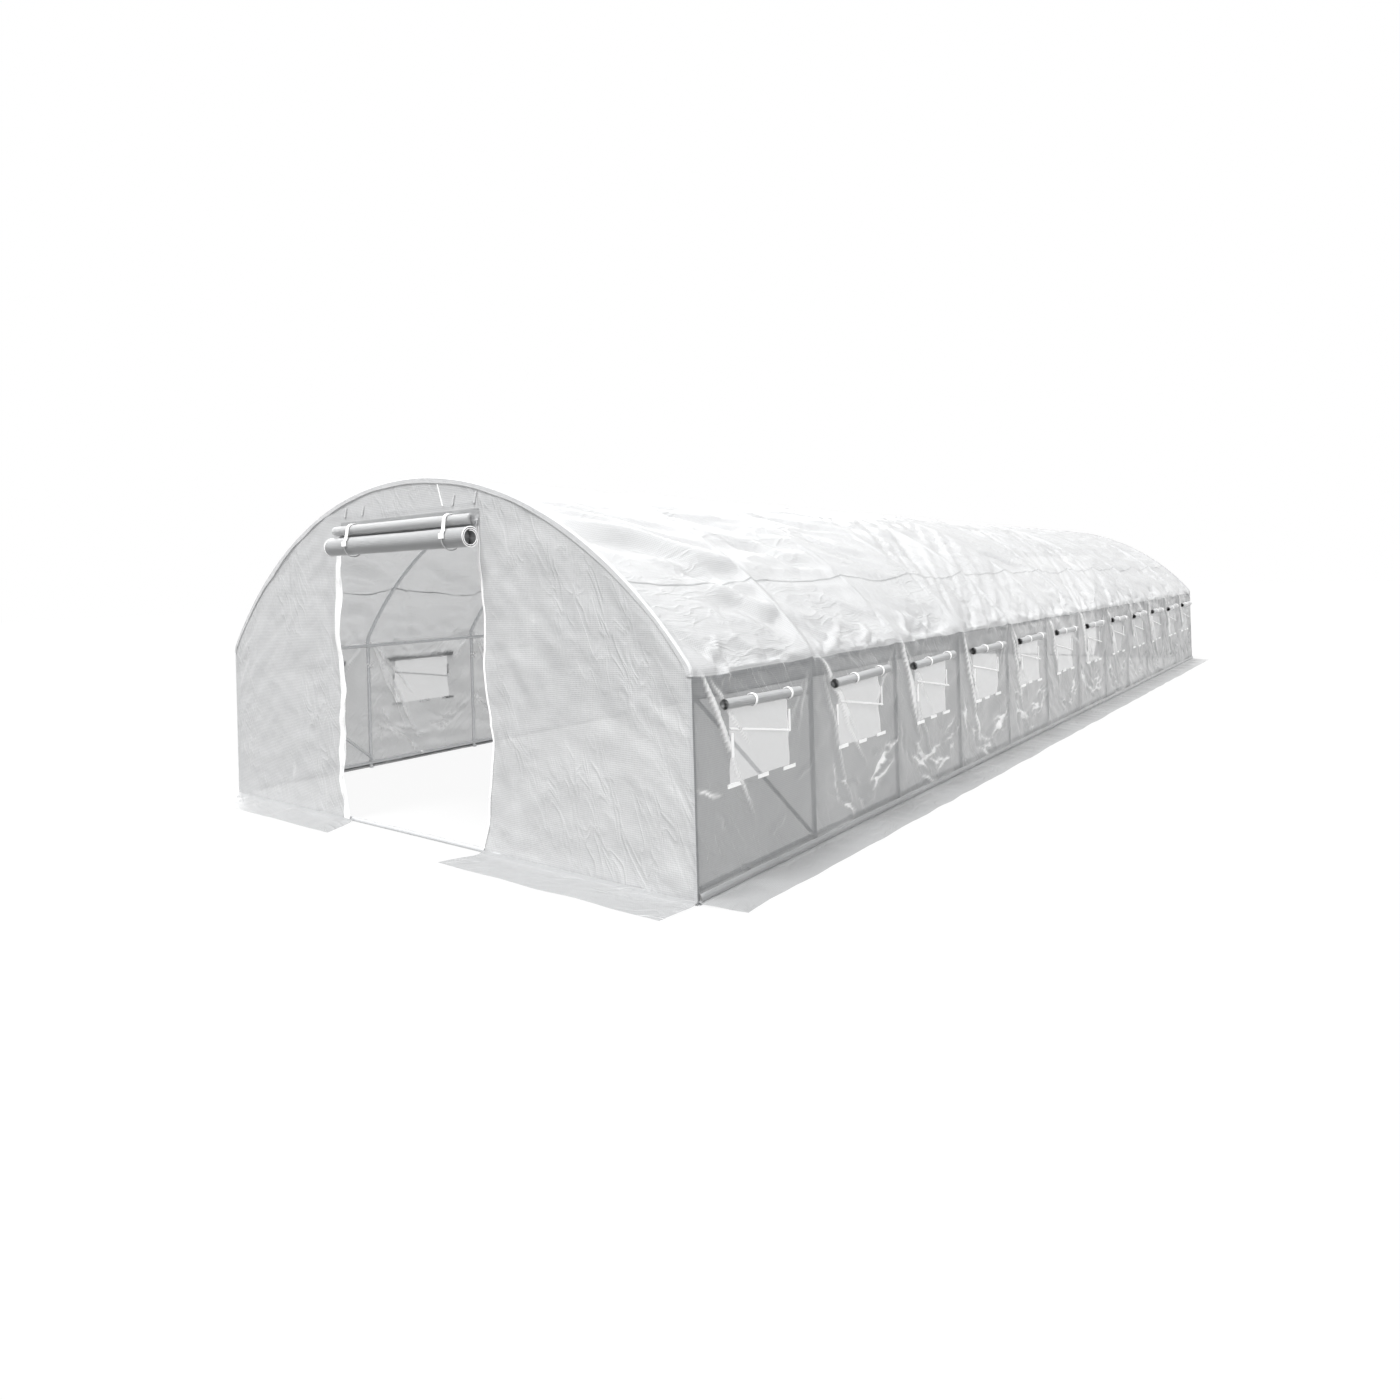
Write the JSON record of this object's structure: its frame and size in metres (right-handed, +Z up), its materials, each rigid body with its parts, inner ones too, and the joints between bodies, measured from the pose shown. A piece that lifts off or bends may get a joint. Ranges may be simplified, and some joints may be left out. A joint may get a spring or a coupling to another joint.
{
  "type": "polytunnel greenhouse",
  "caption": "Long tunnel greenhouse of bent steel hoops under a translucent woven film cover, with rolled-up gable doors and screened side windows.",
  "frame": {"origin": "on the ground, under the middle of the tunnel", "axes": "+X to the right as seen from the front, +Y along the tunnel from front to back, +Z up"},
  "size_m": [4.44, 12.4716, 2],
  "materials": {
    "galvanised_steel": "galvanised, satin",
    "film": "translucent woven film",
    "insect_mesh": "fine knitted mesh",
    "webbing": "woven tape"
  },
  "bodies": {
    "root": {"back_door_roll": "film", "back_door_ties": "webbing", "back_gable_left_panel": "film", "back_gable_right_panel": "film", "back_gable_top_panel": "film", "back_header_bar": "galvanised_steel", "back_screen_roll": "insect_mesh", "back_skirts": "film", "back_threshold_rail": "galvanised_steel", "front_door_roll": "film", "front_door_ties": "webbing", "front_gable_left_panel": "film", "front_gable_right_panel": "film", "front_gable_top_panel": "film", "front_header_bar": "galvanised_steel", "front_screen_roll": "insect_mesh", "front_skirts": "film", "front_threshold_rail": "galvanised_steel", "left_arches": "galvanised_steel", "left_base_rail": "galvanised_steel", "left_braces": "galvanised_steel", "left_eave_rail": "galvanised_steel", "left_legs": "galvanised_steel", "left_lower_roof_cover": "film", "left_purlin": "galvanised_steel", "left_skirt": "film", "left_upper_roof_cover": "film", "left_wall_cover": "film", "left_window_rolls": "film", "left_window_screens": "insect_mesh", "ridge_purlin": "galvanised_steel", "right_arches": "galvanised_steel", "right_base_rail": "galvanised_steel", "right_braces": "galvanised_steel", "right_eave_rail": "galvanised_steel", "right_legs": "galvanised_steel", "right_lower_roof_cover": "film", "right_purlin": "galvanised_steel", "right_skirt": "film", "right_upper_roof_cover": "film", "right_wall_cover": "film", "right_window_rolls": "film", "right_window_screens": "insect_mesh"}
  },
  "joints": []
}
